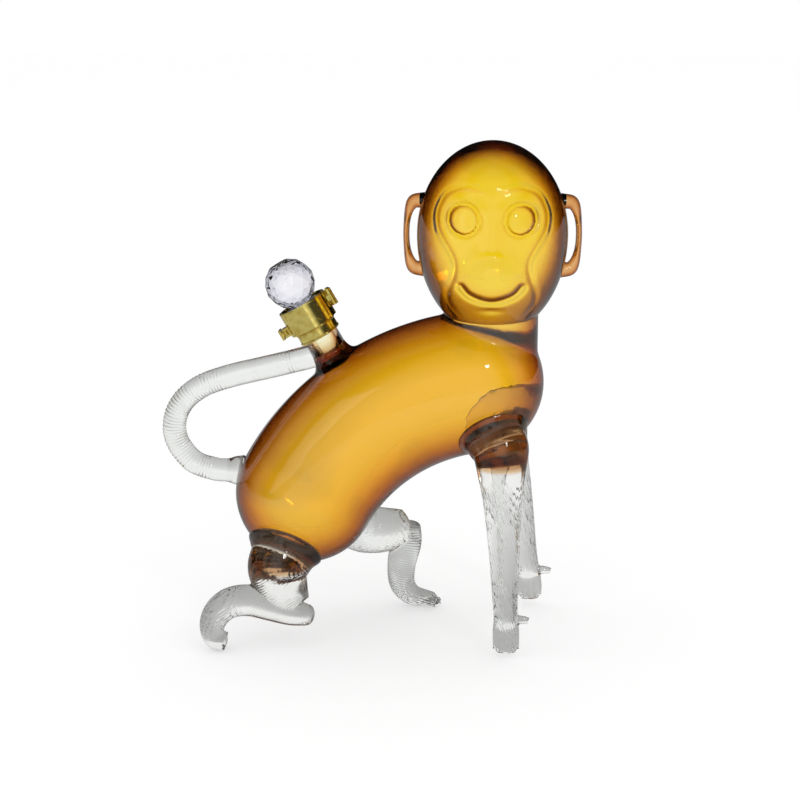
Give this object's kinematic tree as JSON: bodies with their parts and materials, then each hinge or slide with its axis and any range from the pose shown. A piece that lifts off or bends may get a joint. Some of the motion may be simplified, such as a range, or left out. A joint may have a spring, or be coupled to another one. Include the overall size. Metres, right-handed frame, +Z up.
{
  "type": "figural liquor decanter",
  "caption": "Walking glass monkey decanter filled with amber liquor, with a faceted crystal ball stopper in a hinged brass collar on its back and a looped tail as handle.",
  "frame": {"origin": "centre of the figure's footprint, on the table that its four paws stand on", "axes": "+X ahead along the body, towards the chest, +Y to the figure's left side, +Z up; the face looks along -Y"},
  "size_m": [0.2174, 0.0906, 0.26],
  "materials": {
    "clear_glass": "clear blown glass, fire polished",
    "liquor": "clear amber liquid",
    "silicone": "translucent white silicone",
    "brass": "polished gold with fine turning marks",
    "crystal": "cut crystal with polished facets"
  },
  "bodies": {
    "root": {"torso_shell": "clear_glass", "head_shell": "clear_glass", "ear_right": "clear_glass", "ear_left": "clear_glass", "tail_handle": "clear_glass", "foreleg_right": "clear_glass", "foreleg_left": "clear_glass", "hindleg_right": "clear_glass", "hindleg_left": "clear_glass", "bottle_neck": "clear_glass", "liquor_fill": "liquor", "neck_gasket": "silicone", "neck_band": "brass", "collar_rear": "brass", "hinge_pin": "brass"},
    "collar_front": {"collar_front": "brass", "latch_pin": "brass"},
    "latch": {"latch_lever": "brass"},
    "stopper_seal": {"stopper_seal": "silicone"},
    "stopper": {"stopper_shank": "crystal", "stopper_ball": "crystal"}
  },
  "joints": [
    {"name": "collar_hinge", "type": "hinge", "parent": "root", "child": "collar_front", "pos_m": [-0.01946, 0.00053, 0.17958], "axis": [-0.5, 0, 0.866], "range_deg": [0, 110]},
    {"name": "latch_pivot", "type": "hinge", "parent": "collar_front", "child": "latch", "pos_m": [-0.0429, -0.00107, 0.16038], "axis": [-0.5, 0, 0.866], "range_deg": [0, 75]},
    {"name": "stopper_lift", "type": "slide", "parent": "root", "child": "stopper_seal", "axis": [-0.5, 0, 0.866], "range_m": [0, 0.03]},
    {"name": "stopper_turn", "type": "hinge", "parent": "stopper_seal", "child": "stopper", "pos_m": [-0.033, 0.00053, 0.17303], "axis": [-0.5, 0, 0.866], "continuous": true}
  ]
}
